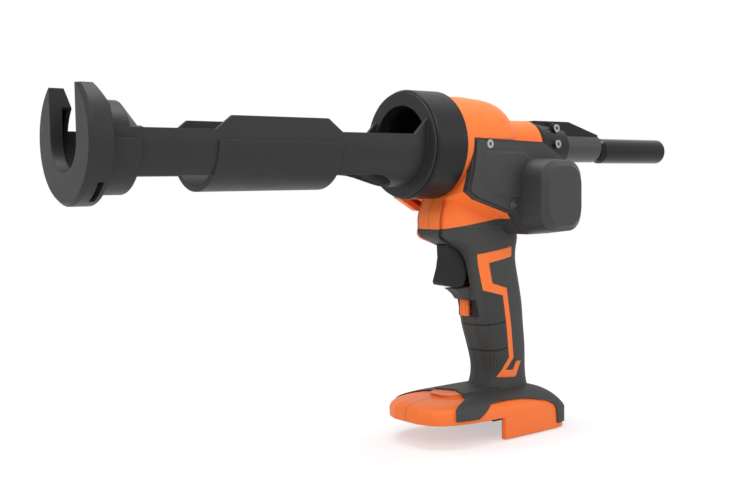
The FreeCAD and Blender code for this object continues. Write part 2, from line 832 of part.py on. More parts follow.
def handle(inset, first, last, ruled):
    wires = []
    for index in range(first, last + 1):
        front_share, rear_share, half_share = handle_section_shares[index]
        if ruled:
            front_share += skin_relief_shares.get(index, 0)
        z = handle_top - handle_height * index / (len(handle_section_shares) - 1)
        wires.append(half_oval(front_share * handle_reach + inset, rear_share * handle_reach - inset,
                               half_share * handle_half - inset, handle_power_front, handle_power_rear, z))
    return Part.makeLoft(wires, True, ruled)


def handle_cavity():
    front = []
    rear = []
    for index in range(0, len(handle_section_shares), cavity_section_step):
        front_share, rear_share, half_share = handle_section_shares[index]
        z = handle_top - handle_height * index / (len(handle_section_shares) - 1)
        front.append((front_share * handle_reach + handle_cavity_margin, z))
        rear.append((rear_share * handle_reach - handle_cavity_margin, z))
    return prism_y(front + rear[::-1], -handle_cavity_half, overrun)


def base(inset):
    wires = []
    for lift_share, front_share, rear_share, half_share in base_section_shares:
        z = base_floor + inset + lift_share * (base_height - 2 * inset)
        wires.append(half_oval(base_front + front_share * base_length + inset,
                               base_front + rear_share * base_length - inset,
                               half_share * base_half - inset, base_power_front, base_power_rear, z))
    return Part.makeLoft(wires, True, False)


def base_cavity():
    floor = base_floor + housing_wall
    outline = half_oval(base_front + base_cavity_margin, base_front + base_length - 2 * base_cavity_margin,
                        base_half - base_cavity_margin, base_power_front, base_power_rear, floor)
    room = Part.Face(outline).extrude(point(0, 0, base_cavity_height))
    front_share, rear_share, _ = handle_section_shares[-1]
    way = block(front_share * handle_reach + handle_cavity_margin, rear_share * handle_reach - handle_cavity_margin,
                -handle_cavity_half, overrun, floor, handle_top - handle_height + overrun)
    return room.fuse(way)


def scaled_outline(shares, reach, drop):
    return [(u * reach, v * drop) for u, v in shares]


def skirt_block(inset, bottom):
    outline = half_oval(base_front + inset, base_front + base_length - inset, base_half - inset,
                        base_power_front, base_power_rear, bottom)
    return Part.Face(outline).extrude(point(0, 0, base_floor + min(inset, 0) - bottom))


def skirt():
    body = skirt_block(0, skirt_bottom)
    rear = base_front + base_length - skirt_wall
    half = base_half - skirt_wall
    ahead = block(base_front - overrun, skirt_front, -2 * base_half, overrun,
                  skirt_bottom - overrun, base_floor + overrun)
    hollow = skirt_block(skirt_wall, skirt_bottom - overrun)
    lip = block(skirt_front + rail_lip_setback, rear, -half, rail_lip - half,
                skirt_bottom, skirt_bottom + rail_lip_height)
    return body.cut(ahead).cut(hollow.cut(lip))


def foot_space():
    above = [(base_front + u * base_length, v * base_half) for u, v in foot_top_shares]
    beside = [(base_front + u * base_length, base_floor + v * base_height) for u, v in foot_side_shares]
    return prism_z(above, skirt_bottom, base_top + overrun).common(prism_y(beside, -2 * base_half, overrun))


def stripe_space():
    return prism_y(scaled_outline(stripe_shares, cover_reach, cover_drop), -2 * base_half, -overrun)


def outline_wire(outline, y):
    corners = [point(x, y, z) for x, z in outline]
    return Part.makePolygon(corners + corners[:1])


def cover_seat(shares):
    outline = scaled_outline(shares, cover_reach, cover_drop)
    root = []
    for x, z in outline:
        low = z < -seat_flare and x < bulge_root_left
        root.append((x, z - seat_flare if low else z))
    return Part.makeLoft([outline_wire(root, 0), outline_wire(outline, -seat_plane)], True, True)


def cover_opening(shares):
    outline = scaled_outline(shares, cover_reach, cover_drop)
    return inset_prism(outline, seat_rim, -seat_plane - overrun, overrun)


def cover_pocket(shares):
    outline = scaled_outline(shares, cover_reach, cover_drop)
    return inset_prism(outline, 0, -2 * seat_plane, -seat_plane)


def seat_ring(shares):
    outline = scaled_outline(shares, cover_reach, cover_drop)
    inner = seat_depth - seat_plane
    ring = inset_prism(outline, -seat_shoulder, -2 * seat_plane, inner)
    return ring.cut(inset_prism(outline, seat_rim, -2 * seat_plane - overrun, inner + overrun))


def largest(shape):
    return max(shape.Solids, key=lambda solid: solid.Volume)


def screw_places(shares, reach, drop):
    return [(u * reach, v * drop) for u, v in shares]


def trigger_space():
    half = trigger_half + trigger_gap
    return block(trigger_front - 2 * overrun, trigger_rear + trigger_travel + overrun, -half, half,
                 trigger_bottom - trigger_gap, trigger_top + trigger_gap)


def lock_space():
    return block(trigger_front, lock_floor, -lock_window_half, lock_window_half, lock_window_bottom,
                 lock_window_top)


def lock_stem(side_gap, start, end):
    middle = (lock_window_bottom + lock_window_top) / 2
    centre = (lock_left + lock_right) / 2
    return block(start, end, centre - lock_stem_half - side_gap, centre + lock_stem_half + side_gap,
                 middle - lock_stem_half - min(side_gap, loose_gap),
                 middle + lock_stem_half + min(side_gap, loose_gap))


def lock_slot():
    return lock_stem(lock_travel + loose_gap, trigger_front, lock_stem_end)


last_section = len(handle_section_shares) - 1
handle_outer = handle(0, skin_section, last_section, False)
handle_under = handle(skin_thickness, skin_section, last_section, True)
base_outer = base(0)


def grip_skin(seat):
    skin = handle_outer.cut(handle_under).cut(stripe_space()).cut(seat).cut(base_outer)
    return largest(skin.cut(trigger_space()).cut(lock_space()))


def grip_stripe():
    return handle_outer.cut(handle_under).common(stripe_space())


def foot_skin():
    cap = base(-foot_skin_thickness).fuse(skirt_block(-foot_skin_thickness, skirt_bottom)).common(foot_space())
    return largest(cap.cut(base_outer).cut(skirt_block(0, skirt_bottom - overrun)).cut(handle_outer))


def frame_ribs():
    ribs = []
    for front in (frame_front + frame_rib_inset, frame_rear - frame_rib_inset - frame_rib_width):
        ribs.append(block(front, front + frame_rib_width, -frame_rib_half, 0, frame_top, bell_radius))
    return ribs


def switch_rib():
    return block(switch_rib_front, switch_rib_rear, -switch_rib_outer, -switch_half,
                 switch_rib_bottom, switch_rib_top)


def saddle(radius, y0, y1):
    seat = block(motor_x + saddle_start, motor_x + saddle_end, y0, y1, saddle_bottom, saddle_top)
    return seat.cut(along_y(radius, y0 - overrun, y1 + overrun, motor_x, motor_z))


def housing_half(shares, screw_shares, motor_seat):
    chin = handle(0, 0, skin_section, False)
    outer = barrel(0)
    for piece in (cover_seat(shares), chin, handle_under, base_outer, skirt()):
        outer = outer.fuse(piece)
    shell = outer
    bell_space = barrel(housing_wall).cut(seat_ring(shares))
    spaces = [trigger_space(), lock_space(), lock_slot(), mirrored(lock_slot()), cover_opening(shares)]
    for space in spaces + [bell_space, handle_cavity(), base_cavity(), cover_pocket(shares)]:
        shell = shell.cut(space)
    for rib in frame_ribs() + [switch_rib(), motor_seat]:
        shell = shell.fuse(rib.common(outer))
    for x, z in screw_places(housing_screw_shares, cover_reach, cover_drop):
        shell = shell.fuse(along_y(boss_radius, -seat_plane, 0, x, z).common(outer))
    for x, z in screw_places(screw_shares, cover_reach, cover_drop):
        shell = shell.fuse(along_y(cover_boss_radius, -seat_plane, seat_depth - seat_plane, x, z))
        shell = shell.cut(along_y(cover_screw_radius, -seat_plane - overrun, seat_depth - seat_plane, x, z))
    shell = shell.cut(along_x(bell_radius - housing_wall, bell_front - overrun, socket_end))
    tail_way = along_x(tail_tube_radius + seat_gap, spine_end - 2 * overrun, spine_end + overrun)
    return largest(shell.cut(tail_way))


def housing_left():
    motor_seat = saddle(motor_radius, motor_saddle_left, motor_saddle_right)
    shell = housing_half(left_cover_shares, left_screw_shares, motor_seat)
    for x, z in screw_places(housing_screw_shares, cover_reach, cover_drop):
        shell = shell.cut(along_y(boss_pilot, housing_screw_tip, overrun, x, z))
    return shell


def head_wells(shape):
    for x, z in screw_places(housing_screw_shares, cover_reach, cover_drop):
        shape = shape.cut(along_y(boss_pilot, -overrun, housing_screw_head_plane, x, z))
        well = housing_screw_head_radius + seat_gap
        shape = shape.cut(along_y(well, housing_screw_head_plane, 2 * base_half, x, z))
    return shape


def housing_right():
    ring_seat = saddle(ring_radius, -ring_right, -ring_left)
    return head_wells(mirrored(housing_half(right_seat_shares, right_screw_shares, ring_seat)))


def skin_left():
    return grip_skin(cover_seat(left_cover_shares))


def skin_right():
    return head_wells(mirrored(grip_skin(cover_seat(right_seat_shares))))


def housing_screws():
    screws = []
    for x, z in screw_places(housing_screw_shares, cover_reach, cover_drop):
        length = housing_screw_head_plane - housing_screw_tip
        screws.append(screw_y(boss_pilot, housing_screw_head_radius, housing_screw_head, length,
                              x, z, housing_screw_head_plane, -1))
    return Part.makeCompound(screws)


def rounded_wire(left, right, bottom, top, corner, y):
    bend = corner * (1 - math.sqrt(0.5))
    arcs = [Part.Arc(point(left, y, top - corner), point(left + bend, y, top - bend),
                     point(left + corner, y, top)),
            Part.Arc(point(right - corner, y, top), point(right - bend, y, top - bend),
                     point(right, y, top - corner)),
            Part.Arc(point(right, y, bottom + corner), point(right - bend, y, bottom + bend),
                     point(right - corner, y, bottom)),
            Part.Arc(point(left + corner, y, bottom), point(left + bend, y, bottom + bend),
                     point(left, y, bottom + corner))]
    edges = []
    for index, arc in enumerate(arcs):
        following = arcs[(index + 1) % len(arcs)]
        edges.append(arc.toShape())
        edges.append(Part.LineSegment(arc.EndPoint, following.StartPoint).toShape())
    return Part.Wire(edges)


def bulge(inset, root, face):
    wires = []
    bevel = (bulge_inset, face + bulge_bevel)
    for slope, y in ((0, root), bevel, (bulge_inset + bulge_bevel, face)):
        step = inset + slope
        wires.append(rounded_wire(bulge_root_left + step, bulge_root_right - step, bulge_root_bottom + step,
                                  bulge_root_top - step, bulge_corner, y))
    return Part.makeLoft(wires, True, True)


def cover_plate(shares, face):
    outline = scaled_outline(shares, cover_reach, cover_drop)
    plate = inset_prism(outline, 0, seat_plane, face - cover_edge)
    brow = inset_prism(outline, cover_edge, face - cover_edge, face)
    hollow = inset_prism(outline, seat_rim, seat_plane - overrun, face - cover_wall)
    return plate.fuse(brow), hollow


def cover_fixings(cover, outline_shares, shares, side, face):
    outline = scaled_outline(outline_shares, cover_reach, cover_drop)
    ends = sorted((side * seat_plane, side * (face - cover_screw_head)))
    bound = inset_prism(outline, 0, ends[0], ends[1])
    for x, z in screw_places(shares, cover_reach, cover_drop):
        cover = cover.fuse(along_y(cover_boss_radius, ends[0], ends[1], x, z).common(bound))
    for x, z in screw_places(shares, cover_reach, cover_drop):
        through = sorted((side * (seat_plane - overrun), side * (face + overrun)))
        sink = sorted((side * (face - cover_screw_head), side * (face + overrun)))
        cover = cover.cut(along_y(cover_screw_radius, through[0], through[1], x, z))
        cover = cover.cut(along_y(cover_screw_head_radius + seat_gap, sink[0], sink[1], x, z))
    return cover


def motor_cover():
    plate, hollow = cover_plate(left_cover_shares, cover_face)
    plate = mirrored(plate)
    hollow = mirrored(hollow)
    whole = fused([plate, bulge(0, -seat_plane, -bulge_face)])
    inner = bulge(cover_wall, overrun - seat_plane, cover_wall - bulge_face)
    return cover_fixings(whole.cut(hollow).cut(inner), left_cover_shares, left_screw_shares, -1,
                         cover_face).removeSplitter()


def gear_cover():
    plate, hollow = cover_plate(right_cover_shares, gear_cover_face)
    post = along_y(2 * transfer_pin_radius, gear_right + loose_gap, gear_cover_face - cover_edge,
                   motor_x, motor_z)
    whole = fused([plate.cut(hollow), post])
    whole = whole.cut(along_y(transfer_pin_radius, gear_left, transfer_pin_right, motor_x, motor_z))
    return cover_fixings(whole, right_cover_shares, right_screw_shares, 1, gear_cover_face).removeSplitter()


def cover_screws():
    screws = []
    for shares, side, face in ((left_screw_shares, -1, cover_face), (right_screw_shares, 1, gear_cover_face)):
        for x, z in screw_places(shares, cover_reach, cover_drop):
            seat = side * (face - cover_screw_head)
            screws.append(screw_y(cover_screw_radius, cover_screw_head_radius, cover_screw_head,
                                  cover_screw_length, x, z, seat, -side))
    return Part.makeCompound(screws)


def tail_screw_places():
    places = []
    for side in (-1, 1):
        places.append((tail_screw_high_x, tail_screw_high, side, tail_boss_high_face))
        places.append((tail_screw_low_x, tail_screw_low, side, tail_boss_low_face))
    return places


def tail_shroud():
    cap = [(spine_end, spine_radius - spine_edge),
           (spine_end - spine_edge + seat_gap, spine_radius + seat_gap),
           (spine_end, spine_radius + seat_gap), (shroud_end, spine_radius - spine_edge),
           (shroud_end, tail_tube_radius), (spine_end, tail_tube_radius)]
    shroud = turned(cap)
    hood = [(spine_end, hood_root_height), (spine_end, spine_radius), (hood_ridge_end, spine_radius),
            (hood_tip, hood_tip_height), (hood_tip, hood_root_height)]
    pieces = [shroud, prism_y(hood, -hood_half, hood_half)]
    for x, z, side, face in tail_screw_places():
        ends = sorted((side * tail_tube_radius, side * (face - cover_screw_head)))
        pieces.append(along_y(tail_boss_radius, ends[0], ends[1], x, z))
    shroud = fused(pieces)
    shroud = shroud.cut(along_x(tail_tube_radius, spine_end - overrun, hood_tip + overrun))
    shroud = shroud.cut(block(spine_end - overrun, shroud_notch_end, -2 * spine_radius, 2 * spine_radius,
                              -2 * spine_radius, shroud_notch_top))
    for x, z, side, face in tail_screw_places():
        ends = sorted((side * (face - cover_screw_head - cover_screw_length), side * (face + overrun)))
        sink = sorted((side * (face - cover_screw_head), side * (face + overrun)))
        shroud = shroud.cut(along_y(cover_screw_radius, ends[0], ends[1], x, z))
        shroud = shroud.cut(along_y(cover_screw_head_radius + seat_gap, sink[0], sink[1], x, z))
    return shroud.removeSplitter()


def tail_tube():
    tube = along_x(tail_tube_radius, tail_tube_start, tail_tube_end)
    tube = tube.cut(along_x(tail_tube_bore, tail_tube_start - overrun, tail_tube_end + overrun))
    for x, z, side, face in tail_screw_places():
        ends = sorted((side * (face - cover_screw_head - cover_screw_length), side * face))
        tube = tube.cut(along_y(cover_screw_radius, ends[0], ends[1], x, z))
    return tube


def tail_screws():
    screws = []
    for x, z, side, face in tail_screw_places():
        seat = side * (face - cover_screw_head)
        length = face - cover_screw_head - tail_tube_bore
        length = min(cover_screw_length, length) if z == tail_screw_low else cover_screw_head
        screws.append(screw_y(cover_screw_radius, cover_screw_head_radius, cover_screw_head, length,
                              x, z, seat, -side))
    return Part.makeCompound(screws)


def trigger():
    depth = trigger_rear - trigger_front
    height = trigger_top - trigger_bottom
    outline = [(trigger_front + u * depth, trigger_top - v * height) for u, v in trigger_shares]
    body = prism_y(outline, -trigger_half, trigger_half)
    stem = Part.makeCylinder(plunger_radius, plunger_end - trigger_rear + trigger_round,
                             point(trigger_rear - trigger_round, 0, spring_z), x_axis)
    return fused([body, stem])


def switch_body():
    body = block(switch_front, switch_rear, -switch_half, switch_half, switch_bottom, switch_top)
    depth = plunger_end + trigger_travel + seat_gap - switch_front
    bore = Part.makeCylinder(plunger_radius + running_fit, depth + overrun,
                             point(switch_front - overrun, 0, spring_z), x_axis)
    return body.cut(bore)


def trigger_spring():
    start = trigger_rear + spring_wire
    length = switch_front - spring_wire - start
    path = Part.makeHelix(length / spring_turns, length, spring_coil)
    section = Part.Wire(Part.makeCircle(spring_wire, point(spring_coil, 0, 0), y_axis))
    coil = Part.Wire(path.Edges).makePipeShell([section], True, True)
    coil.rotate(origin, y_axis, 90)
    coil.translate(point(start, 0, spring_z))
    return coil


def lock_guide():
    front = lock_floor - lock_plate
    plate = block(front, lock_floor, -lock_window_half, lock_window_half, lock_window_bottom,
                  lock_window_top)
    return plate.cut(lock_slot()).removeSplitter()


def lock_button():
    rear = lock_floor - lock_plate - seat_gap
    pad = block(lock_front, rear, lock_left, lock_right, lock_window_bottom + loose_gap,
                lock_window_top - loose_gap)
    return fused([pad, lock_stem(0, rear, lock_stem_end)])


def control_board():
    top = board_bottom + board_thickness
    board = block(board_front, board_rear, -board_half, board_half, board_bottom, top)
    middle = (board_front + board_rear) / 2
    chip = block(middle - chip_half, middle + chip_half, -chip_half, chip_half, top, top + chip_height)
    return board.fuse(chip).removeSplitter()


def blade_row():
    return [(index - (blade_count - 1) / 2) * blade_pitch for index in range(blade_count)]


def terminal_block():
    body = block(terminal_front, terminal_rear, -terminal_half, terminal_half, terminal_bottom, base_floor)
    for y in blade_row():
        slot = block(terminal_front - overrun, blade_rear, y - terminal_slot / 2, y + terminal_slot / 2,
                     terminal_bottom - overrun, base_floor - terminal_slot)
        body = body.cut(slot)
    return body


def contact_blades():
    blades = []
    for y in blade_row():
        blades.append(block(blade_front, blade_rear, y - blade_thickness / 2, y + blade_thickness / 2,
                            blade_bottom, base_floor - terminal_slot))
    return Part.makeCompound(blades)


def power_wires():
    wires = []
    for side in (-1, 1):
        foot = point(power_wire_x, side * wire_pitch, board_bottom + board_thickness)
        wires.append(Part.makeCylinder(wire_radius, switch_bottom - foot.z, foot, z_axis))
    return Part.makeCompound(wires)


def motor_wires():
    can = along_y(motor_radius, motor_left, motor_right, motor_x, motor_z)
    wires = []
    for side in (-1, 1):
        foot = point(motor_wire_x + side * 2 * wire_radius, -motor_wire_side, switch_top)
        wire = Part.makeCylinder(wire_radius, motor_z - switch_top, foot, z_axis)
        wires.append(wire.cut(can))
    return Part.makeCompound(wires)


save("housing_left", housing_left())
save("housing_right", housing_right())
save("grip_skin_left", skin_left())
save("grip_skin_right", skin_right())
save("grip_stripe_left", grip_stripe())
save("grip_stripe_right", mirrored(grip_stripe()))
save("foot_skin_left", foot_skin())
save("foot_skin_right", mirrored(foot_skin()))
save("housing_screws", housing_screws())
save("carriage_frame", carriage_frame())
save("carriage_retainer", carriage_retainer())
save("lock_collar", lock_collar())
save("nose_socket", nose_socket())
save("front_bush", front_bush())
save("rear_bush", rear_bush())
save("plunger_rod", plunger_rod())
save("piston", piston())
save("piston_screw", piston_screw())
save("rod_knob", rod_knob())
save("pinion_shaft", pinion_shaft())
save("drive_gear", drive_gear())
save("transfer_gear", transfer_gear())
save("clutch_disc", clutch_disc())
save("transfer_pin", transfer_pin())
save("pinion_bearing_left", pinion_bearing(left_bearing_start))
save("pinion_bearing_right", pinion_bearing(right_bearing_start))
save("gear_frame", gear_frame())
save("rotor", rotor())
save("planet_carrier", planet_carrier())
for number in range(planet_count):
    save("planet_gear_" + str(number + 1), planet_gear(number))
save("ring_gear", ring_gear())
save("gearbox_plate", gearbox_plate())
save("motor_can", motor_can())
save("motor_magnets", motor_magnets())
save("motor_cap", motor_cap())
save("motor_bearing_left", motor_bearing(motor_cap_left))
save("motor_bearing_right", motor_bearing(motor_right - motor_bearing_width))
save("motor_cover", motor_cover())
save("gear_cover", gear_cover())
save("cover_screws", cover_screws())
save("tail_shroud", tail_shroud())
save("tail_tube", tail_tube())
save("tail_screws", tail_screws())
save("trigger", trigger())
save("switch_body", switch_body())
save("trigger_spring", trigger_spring())
save("lock_guide", lock_guide())
save("lock_button", lock_button())
save("control_board", control_board())
save("terminal_block", terminal_block())
save("contact_blades", contact_blades())
save("power_wires", power_wires())
save("motor_wires", motor_wires())
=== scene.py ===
import bpy
import bmesh
import json
import math
from mathutils import Matrix, Vector


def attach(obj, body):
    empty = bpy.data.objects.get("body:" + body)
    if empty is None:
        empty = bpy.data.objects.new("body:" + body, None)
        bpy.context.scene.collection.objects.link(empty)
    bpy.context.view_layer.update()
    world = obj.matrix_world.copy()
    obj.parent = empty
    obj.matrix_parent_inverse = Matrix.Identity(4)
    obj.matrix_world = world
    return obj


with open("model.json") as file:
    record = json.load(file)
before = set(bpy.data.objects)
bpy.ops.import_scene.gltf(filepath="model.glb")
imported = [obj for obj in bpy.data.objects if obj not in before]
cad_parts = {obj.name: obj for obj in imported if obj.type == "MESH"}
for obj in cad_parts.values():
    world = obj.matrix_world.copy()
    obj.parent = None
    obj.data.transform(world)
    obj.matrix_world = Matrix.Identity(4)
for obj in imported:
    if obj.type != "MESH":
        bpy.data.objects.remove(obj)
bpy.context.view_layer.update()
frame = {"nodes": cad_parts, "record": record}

# Camera: place and clipping in metres, lens and sensor in millimetres
camera_place = Vector((-0.44777, -0.5392, -0.02704))
camera_yaw = math.radians(37.85)
camera_pitch = math.radians(-3.71)
camera_roll = math.radians(-0.84)
camera_lens = 50.29
camera_sensor = 36.0
camera_shift = (0.0015, 0.0032)
camera_clip = (0.01, 50.0)

# Floor: a round sheet that turns white between the two distances of its fade
floor_height = -0.206
floor_centre = (0.02, 0.0)
floor_radius = 2.0
floor_sides = 96
floor_fade = (0.4, 1.1)
floor_glow = 0.5
floor_colours = ((0.93, 0.93, 0.93), (0.95, 0.95, 0.95))

# Light: the world's strength where it only lights, and each lamp's place, size and watts
white = (1.0, 1.0, 1.0, 1.0)
world_light = 0.4
world_seen = 1.0
lamp_target = (0.02, 0.0, -0.06)
lamps = {
    "key_light": ((-1.4, -1.0, 1.2), (1.0, 1.0), 18.0),
    "fill_light": ((1.1, -1.7, 0.6), (1.0, 1.2), 7.0),
    "top_light": ((0.1, 0.1, 1.8), (1.6, 1.0), 36.0),
}

# Colours of the two-shot mouldings, and of what is rubbed or printed on
orange = (0.86, 0.17, 0.026)
rubber = (0.042, 0.042, 0.041)
rubbed_white = 0.8
track_colour = (0.05, 0.2, 0.08)

# Edge of the overmoulded rubber under the cover and on the right of the chin, and the trigger's well, where the
# rubber's colour is painted as shade
boot_front = (0.0274, -0.0578)
boot_rise = 0.128
boot_rear = (0.0805, -0.0507)
boot_rear_rise = 0.53
boot_floor = -0.066
painted_shade_well_half = 0.0085
painted_shade_well_floor = -0.102
painted_shade_well_rear = 0.080
nub_edge = (0.0118, -0.058)
nub_lean = 0.5
nub_floor = -0.068
nub_rear = 0.040
edge_blur = 0.0003

# Parting line of the housing: where it fades out on either side, and how strong it is
seam_fade = (0.00028, 0.0001)
seam_strength = 0.75

# Grooves around the front of the grip: lowest point and curve, with the half width and where they end
grooves = (((0.064, -0.1278), 6.7), ((0.0695, -0.147), 8.5))
groove_half = 0.0007
groove_depth = 0.0009
groove_rear = (0.084, 0.08)

# Ribs of the grip: pitch and lean, and the two values between which each side of a field fades
front_rib_pitch = 0.0016
front_rib_lean = 0.16
rear_rib_pitch = 0.0022
rear_rib_lean = 0.1
rib_depth = 0.00022
grip_middle = -0.12
grip_lean = 0.18
rib_floor = (-0.166, -0.160)
front_rib_top = (-0.100, -0.106)
front_rib_start = (0.062, 0.066)
front_rib_end = (0.088, 0.084)
rear_rib_top = (-0.080, -0.086)
rear_rib_start = (0.094, 0.099)

# Where the normal on a rounded edge leaves the face's own: from none to full
edge_turn = (0.995, 0.86)
edge_samples = 6

# Raised panel on the motor cover and the lip under the trigger, as outlines of (x, z)
panel_root = ((0.040, -0.0039), (0.084, -0.0044), (0.090, -0.0085), (0.090, -0.038),
              (0.068, -0.0386), (0.054, -0.0382), (0.041, -0.032), (0.039, -0.016))
panel_crown = ((0.0465, -0.0057), (0.083, -0.0064), (0.087, -0.0098), (0.087, -0.036),
               (0.069, -0.037), (0.058, -0.033), (0.0495, -0.026), (0.046, -0.016))
panel_seat = -0.0345
panel_top = -0.0362
panel_softness = 0.0005
lip_outline = ((0.0425, -0.1004), (0.0462, -0.1022), (0.0505, -0.1055),
               (0.0535, -0.1092), (0.060, -0.1092), (0.060, -0.1004))
lip_half = 0.0062
lip_softness = 0.0010
slab_rounds = 3


def toned(colour, share):
    """The colour made darker or lighter by a share."""
    return tuple(min(1.0, part * share) for part in colour)


class Value:
    """One socket of a node tree, with the arithmetic that the finishes use."""

    def __init__(self, tree, socket):
        self.tree = tree
        self.socket = socket

    def __add__(self, other):
        return self.tree.maths("ADD", self, other)

    __radd__ = __add__

    def __sub__(self, other):
        return self.tree.maths("SUBTRACT", self, other)

    def __rsub__(self, other):
        return self.tree.maths("SUBTRACT", other, self)

    def __mul__(self, other):
        return self.tree.maths("MULTIPLY", self, other)

    __rmul__ = __mul__


class Tree:
    """The node tree of a material or of the world."""

    def __init__(self, tree):
        self.nodes = tree.nodes
        self.links = tree.links

    def node(self, kind, settings=None, inputs=None, out=0):
        """A node of any type, settings first; gives the output asked for, or the node itself."""
        node = self.nodes.new(kind)
        for key, setting in (settings or {}).items():
            setattr(node, key, setting)
        for key, value in (inputs or {}).items():
            self.feed(node.inputs[key], value)
        if out is None:
            return node
        return Value(self, node.outputs[out])

    def feed(self, socket, value):
        if isinstance(value, Value):
            self.links.new(value.socket, socket)
        else:
            socket.default_value = value

    def maths(self, operation, *values):
        return self.node("ShaderNodeMath", {"operation": operation}, dict(enumerate(values)))

    def seen_rays(self):
        """1 for camera, glossy and transmission rays, 0 for those that only carry light."""
        path = self.node("ShaderNodeLightPath", out=None)
        camera, glossy, through = (Value(self, path.outputs[f"Is {kind} Ray"])
                                   for kind in ("Camera", "Glossy", "Transmission"))
        return self.maths("MAXIMUM", self.maths("MAXIMUM", camera, glossy), through)


class Finish(Tree):
    """A material under construction: its nodes and its surface shader."""

    def __init__(self, name):
        self.material = bpy.data.materials.new(name)
        self.material.use_nodes = True
        super().__init__(self.material.node_tree)
        self.shader = self.nodes["Principled BSDF"]
        self.place = self.node("ShaderNodeTexCoord", out="Object")
        parts = self.node("ShaderNodeSeparateXYZ", inputs={"Vector": self.place}, out=None)
        self.x, self.y, self.z = (Value(self, parts.outputs[axis]) for axis in "XYZ")

    def smooth(self, value, low, high):
        """0 below low, 1 above high, and a soft step between; falling where low is the larger."""
        return self.node("ShaderNodeMapRange", {"interpolation_type": "SMOOTHSTEP"},
                         {"Value": value, "From Min": low, "From Max": high})

    def past(self, value, edge):
        return self.smooth(value, edge, edge + edge_blur)

    def before(self, value, edge):
        return self.smooth(value, edge, edge - edge_blur)

    def positive(self, value):
        return self.smooth(value, -edge_blur, edge_blur)

    def noise(self, scale, detail=3.0, roughness=0.55, stretch=None):
        place = self.place
        if stretch:
            place = self.node("ShaderNodeMapping", None, {"Vector": place, "Scale": stretch}, "Vector")
        return self.node("ShaderNodeTexNoise", None,
                         {"Vector": place, "Scale": scale, "Detail": detail, "Roughness": roughness})

    def mixed(self, share, first, second):
        """One colour turning into another; the sockets go by number, since several share a name."""
        share_input, first_input, second_input, colour_output = 0, 6, 7, 2
        node = self.node("ShaderNodeMix", {"data_type": "RGBA"}, None, None)
        self.feed(node.inputs[share_input], share)
        for index, colour in ((first_input, first), (second_input, second)):
            if not isinstance(colour, Value):
                colour = (*colour, 1.0)
            self.feed(node.inputs[index], colour)
        return Value(self, node.outputs[colour_output])

    def swing(self, middle, noise, width):
        """A number that a noise moves up and down around its middle."""
        return middle + (noise - 0.5) * width

    def soft_edge(self, radius):
        """The normal with edges rounded to this radius."""
        return self.node("ShaderNodeBevel", {"samples": edge_samples}, {"Radius": radius})

    def edge_mask(self, radius):
        """1 along edges, 0 on open faces."""
        bent = self.soft_edge(radius)
        plain = self.node("ShaderNodeNewGeometry", None, None, "Normal")
        along = self.node("ShaderNodeVectorMath", {"operation": "DOT_PRODUCT"}, {0: bent, 1: plain}, "Value")
        return self.smooth(along, *edge_turn)

    def bump(self, height, distance, strength=1.0, normal=None):
        inputs = {"Height": height, "Distance": distance, "Strength": strength}
        if normal is not None:
            inputs["Normal"] = normal
        return self.node("ShaderNodeBump", None, inputs)

    def surface(self, **values):
        names = {"colour": "Base Color", "roughness": "Roughness", "metallic": "Metallic", "normal": "Normal",
                 "specular": "Specular IOR Level"}
        for key, value in values.items():
            self.feed(self.shader.inputs[names[key]], value)
        return self.material


def overmould_and_painted_well_shade(finish):
    """1 on the housing where the overmoulded rubber laps over it under the cover, and in the trigger's well, where
    its dark colour is painted as shade.
    """
    ahead = (finish.x - boot_front[0]) * boot_rise + boot_front[1]
    behind = (finish.x - boot_rear[0]) * boot_rear_rise + boot_rear[1]
    edge = finish.maths("MAXIMUM", ahead, behind)
    lapped = finish.positive(edge - finish.z) * finish.past(finish.z, boot_floor)
    # painted shade: the box of the trigger's well is given the rubber's dark colour
    well_painted_shade = finish.before(finish.maths("ABSOLUTE", finish.y), painted_shade_well_half + edge_blur)
    well_painted_shade = well_painted_shade * finish.past(finish.z, painted_shade_well_floor) * finish.before(finish.z, boot_floor)
    return finish.maths("MAXIMUM", lapped, well_painted_shade * finish.before(finish.x, painted_shade_well_rear))


def moulded(name, colour, roughness, grain=2200.0, depth=0.00003, edge=0.0006, edge_lightening=0.35, lift=0.0875,
            seam=False, specular=0.35):
    """Moulded plastic: spark-eroded grain, faint colour drift, rubbed edges and, if asked, the housing's parting
    line, the edge of its overmoulded rubber and painted shade in the trigger's well."""
    finish = Finish(name)
    drift = finish.noise(scale=18.0, detail=2.0)
    speck = finish.noise(scale=grain, detail=2.0, roughness=0.6)
    rub = finish.noise(scale=160.0, detail=4.0)
    pale = tuple(part + (rubbed_white - part) * lift for part in colour)
    shade = finish.mixed(drift, toned(colour, 0.9), toned(colour, 1.08))
    worn = finish.edge_mask(edge) * finish.smooth(rub, low=0.35, high=0.7) * edge_lightening
    shade = finish.mixed(worn, shade, pale)
    if seam:
        line = finish.smooth(finish.maths("ABSOLUTE", finish.y), *seam_fade)
        shade = finish.mixed(line * seam_strength, shade, toned(colour, 0.25))
        # the overmoulded rubber's grey, also painted into the trigger's well as shade
        shade = finish.mixed(overmould_and_painted_well_shade(finish), shade, finish.mixed(drift, toned(rubber, 0.9), rubber))
    normal = finish.bump(speck, depth, strength=0.6, normal=finish.soft_edge(edge))
    return finish.surface(colour=shade, roughness=finish.swing(roughness, rub, width=0.14), normal=normal,
                          specular=specular)


